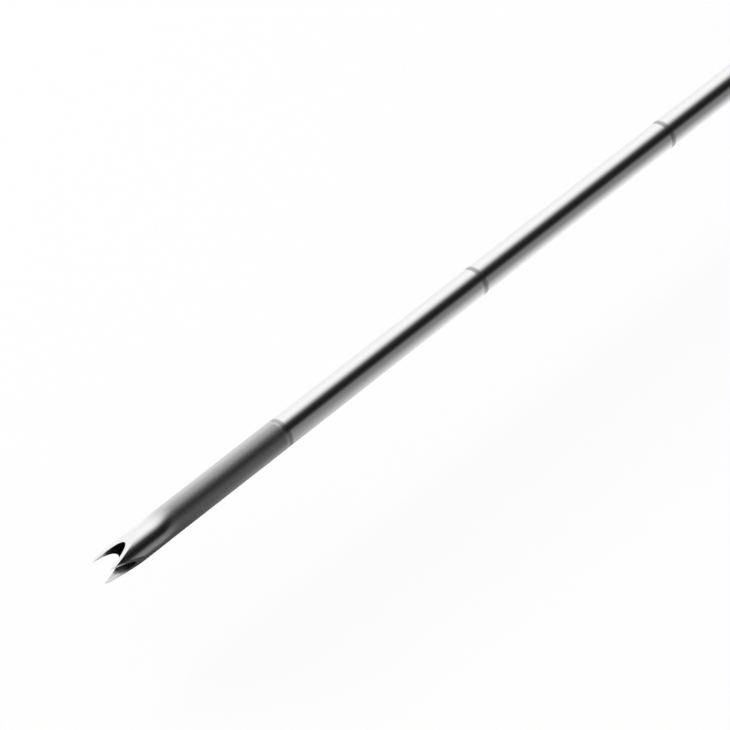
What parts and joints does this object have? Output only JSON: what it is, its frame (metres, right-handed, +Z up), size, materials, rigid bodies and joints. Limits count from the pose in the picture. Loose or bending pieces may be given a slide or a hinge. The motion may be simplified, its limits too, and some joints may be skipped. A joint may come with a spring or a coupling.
{
  "type": "biopsy needle",
  "caption": "Crown-tipped thin-wall biopsy needle with a clear luer hub, a drawn-back solid stylet with lock collar, and a screw-clamped depth stop.",
  "frame": {"origin": "centre of the luer socket's mouth, on the needle's axis at the back of the hub", "axes": "+X along the needle's axis, out of the luer socket and away from the crown; +Z up, away from the flat undersides that the needle lies on"},
  "size_m": [0.1489, 0.01, 0.0166],
  "materials": {
    "cannula_steel": "polished shaft with a roughened zone behind the crown and etched ring marks",
    "rod_steel": "drawn, bright",
    "ferrule_steel": "turned, satin",
    "stud_steel": "rolled thread",
    "clear_plastic": "clear moulded polycarbonate",
    "adhesive": "cured, slightly cloudy",
    "cap_plastic": "moulded, satin",
    "plug_plastic": "moulded, glossy",
    "collar_plastic": "moulded, slightly translucent",
    "stop_plastic": "moulded nylon, fine spark texture",
    "silicone": "matt silicone",
    "retainer_plastic": "moulded",
    "insert_brass": "turned and knurled",
    "shoe_brass": "turned",
    "knob_plastic": "moulded, satin"
  },
  "bodies": {
    "cannula": {"cannula_tube": "cannula_steel", "cannula_hub": "clear_plastic", "anchor_ferrule": "ferrule_steel", "hub_adhesive": "adhesive"},
    "stylet": {"stylet_rod": "rod_steel", "stylet_cap": "cap_plastic", "rod_ferrule": "ferrule_steel", "stylet_adhesive": "adhesive", "cap_end_plug": "plug_plastic"},
    "collar": {"lock_collar": "collar_plastic"},
    "depth_stop": {"stop_body": "stop_plastic", "grip_sleeve": "silicone", "sleeve_retainer": "retainer_plastic", "thread_insert": "insert_brass"},
    "shoe": {"clamp_shoe": "shoe_brass"},
    "thumb_screw": {"screw_stud": "stud_steel", "thumb_knob": "knob_plastic"}
  },
  "joints": [
    {"name": "stylet_slide", "type": "slide", "parent": "cannula", "child": "stylet", "axis": [1, 0, 0], "range_m": [-0.008, 0.12]},
    {"name": "collar_spin", "type": "hinge", "parent": "stylet", "child": "collar", "pos_m": [0.0095, 0, 0], "axis": [1, 0, 0], "continuous": true},
    {"name": "stop_slide", "type": "slide", "parent": "cannula", "child": "depth_stop", "axis": [1, 0, 0], "range_m": [-0.045, 0.041]},
    {"name": "screw_travel", "type": "slide", "parent": "depth_stop", "child": "shoe", "axis": [0, 0, 1], "range_m": [0, 0.0009]},
    {"name": "screw_turn", "type": "hinge", "parent": "shoe", "child": "thumb_screw", "pos_m": [-0.07, 0, 0.006], "axis": [0, 0, 1], "range_deg": [0, 721]}
  ],
  "couplings": [
    {"joint": "screw_turn", "follows": "screw_travel", "rad_per_m": 13963}
  ]
}
